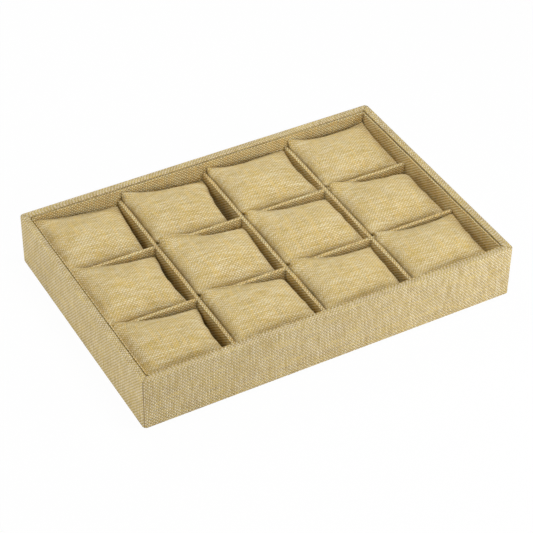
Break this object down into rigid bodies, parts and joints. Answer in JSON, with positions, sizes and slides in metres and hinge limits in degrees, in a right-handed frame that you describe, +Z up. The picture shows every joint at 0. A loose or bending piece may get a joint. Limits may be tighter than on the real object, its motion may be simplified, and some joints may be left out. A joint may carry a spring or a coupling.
{
  "type": "jewelry tray",
  "caption": "Open linen-covered display tray with a raised rim, a lift-out divider grid and a loose stuffed linen pillow in each compartment for watches or bracelets.",
  "frame": {"origin": "centre of the underside", "axes": "+X along the length to the viewer's right, +Y from the front wall towards the back wall, +Z up"},
  "size_m": [0.35, 0.24, 0.05],
  "materials": {
    "linen": "coarse plain weave",
    "pillow_linen": "coarse plain weave",
    "fibreboard": "matte",
    "hardboard": "matte",
    "card": "matte",
    "backing_paper": "matte",
    "brad_steel": "satin",
    "filling": "matte"
  },
  "bodies": {
    "tray": {"wall_front": "fibreboard", "wall_back": "fibreboard", "wall_left": "fibreboard", "wall_right": "fibreboard", "wrap_front": "linen", "wrap_back": "linen", "wrap_left": "linen", "wrap_right": "linen", "lining_card_front": "card", "lining_card_back": "card", "lining_card_left": "card", "lining_card_right": "card", "lining_cover_front": "linen", "lining_cover_back": "linen", "lining_cover_left": "linen", "lining_cover_right": "linen", "base_board": "hardboard", "base_sheet": "backing_paper", "corner_brads": "brad_steel", "base_brads": "brad_steel", "floor_card": "card", "floor_cover": "linen"},
    "divider_grid": {"column_divider_1_card": "card", "column_divider_1_sleeve": "linen", "column_divider_2_card": "card", "column_divider_2_sleeve": "linen", "column_divider_3_card": "card", "column_divider_3_sleeve": "linen", "row_divider_1_card": "card", "row_divider_1_sleeve": "linen", "row_divider_2_card": "card", "row_divider_2_sleeve": "linen"},
    "pillow_1_1": {"pillow_1_1_cover": "pillow_linen", "pillow_1_1_filling": "filling"},
    "pillow_1_2": {"pillow_1_2_cover": "pillow_linen", "pillow_1_2_filling": "filling"},
    "pillow_1_3": {"pillow_1_3_cover": "pillow_linen", "pillow_1_3_filling": "filling"},
    "pillow_1_4": {"pillow_1_4_cover": "pillow_linen", "pillow_1_4_filling": "filling"},
    "pillow_2_1": {"pillow_2_1_cover": "pillow_linen", "pillow_2_1_filling": "filling"},
    "pillow_2_2": {"pillow_2_2_cover": "pillow_linen", "pillow_2_2_filling": "filling"},
    "pillow_2_3": {"pillow_2_3_cover": "pillow_linen", "pillow_2_3_filling": "filling"},
    "pillow_2_4": {"pillow_2_4_cover": "pillow_linen", "pillow_2_4_filling": "filling"},
    "pillow_3_1": {"pillow_3_1_cover": "pillow_linen", "pillow_3_1_filling": "filling"},
    "pillow_3_2": {"pillow_3_2_cover": "pillow_linen", "pillow_3_2_filling": "filling"},
    "pillow_3_3": {"pillow_3_3_cover": "pillow_linen", "pillow_3_3_filling": "filling"},
    "pillow_3_4": {"pillow_3_4_cover": "pillow_linen", "pillow_3_4_filling": "filling"}
  },
  "joints": [
    {"name": "divider_grid_lift", "type": "slide", "parent": "tray", "child": "divider_grid", "axis": [0, 0, 1], "range_m": [0, 0.05]},
    {"name": "pillow_1_1_lift", "type": "slide", "parent": "tray", "child": "pillow_1_1", "axis": [0, 0, 1], "range_m": [0, 0.05]},
    {"name": "pillow_1_2_lift", "type": "slide", "parent": "tray", "child": "pillow_1_2", "axis": [0, 0, 1], "range_m": [0, 0.05]},
    {"name": "pillow_1_3_lift", "type": "slide", "parent": "tray", "child": "pillow_1_3", "axis": [0, 0, 1], "range_m": [0, 0.05]},
    {"name": "pillow_1_4_lift", "type": "slide", "parent": "tray", "child": "pillow_1_4", "axis": [0, 0, 1], "range_m": [0, 0.05]},
    {"name": "pillow_2_1_lift", "type": "slide", "parent": "tray", "child": "pillow_2_1", "axis": [0, 0, 1], "range_m": [0, 0.05]},
    {"name": "pillow_2_2_lift", "type": "slide", "parent": "tray", "child": "pillow_2_2", "axis": [0, 0, 1], "range_m": [0, 0.05]},
    {"name": "pillow_2_3_lift", "type": "slide", "parent": "tray", "child": "pillow_2_3", "axis": [0, 0, 1], "range_m": [0, 0.05]},
    {"name": "pillow_2_4_lift", "type": "slide", "parent": "tray", "child": "pillow_2_4", "axis": [0, 0, 1], "range_m": [0, 0.05]},
    {"name": "pillow_3_1_lift", "type": "slide", "parent": "tray", "child": "pillow_3_1", "axis": [0, 0, 1], "range_m": [0, 0.05]},
    {"name": "pillow_3_2_lift", "type": "slide", "parent": "tray", "child": "pillow_3_2", "axis": [0, 0, 1], "range_m": [0, 0.05]},
    {"name": "pillow_3_3_lift", "type": "slide", "parent": "tray", "child": "pillow_3_3", "axis": [0, 0, 1], "range_m": [0, 0.05]},
    {"name": "pillow_3_4_lift", "type": "slide", "parent": "tray", "child": "pillow_3_4", "axis": [0, 0, 1], "range_m": [0, 0.05]}
  ]
}
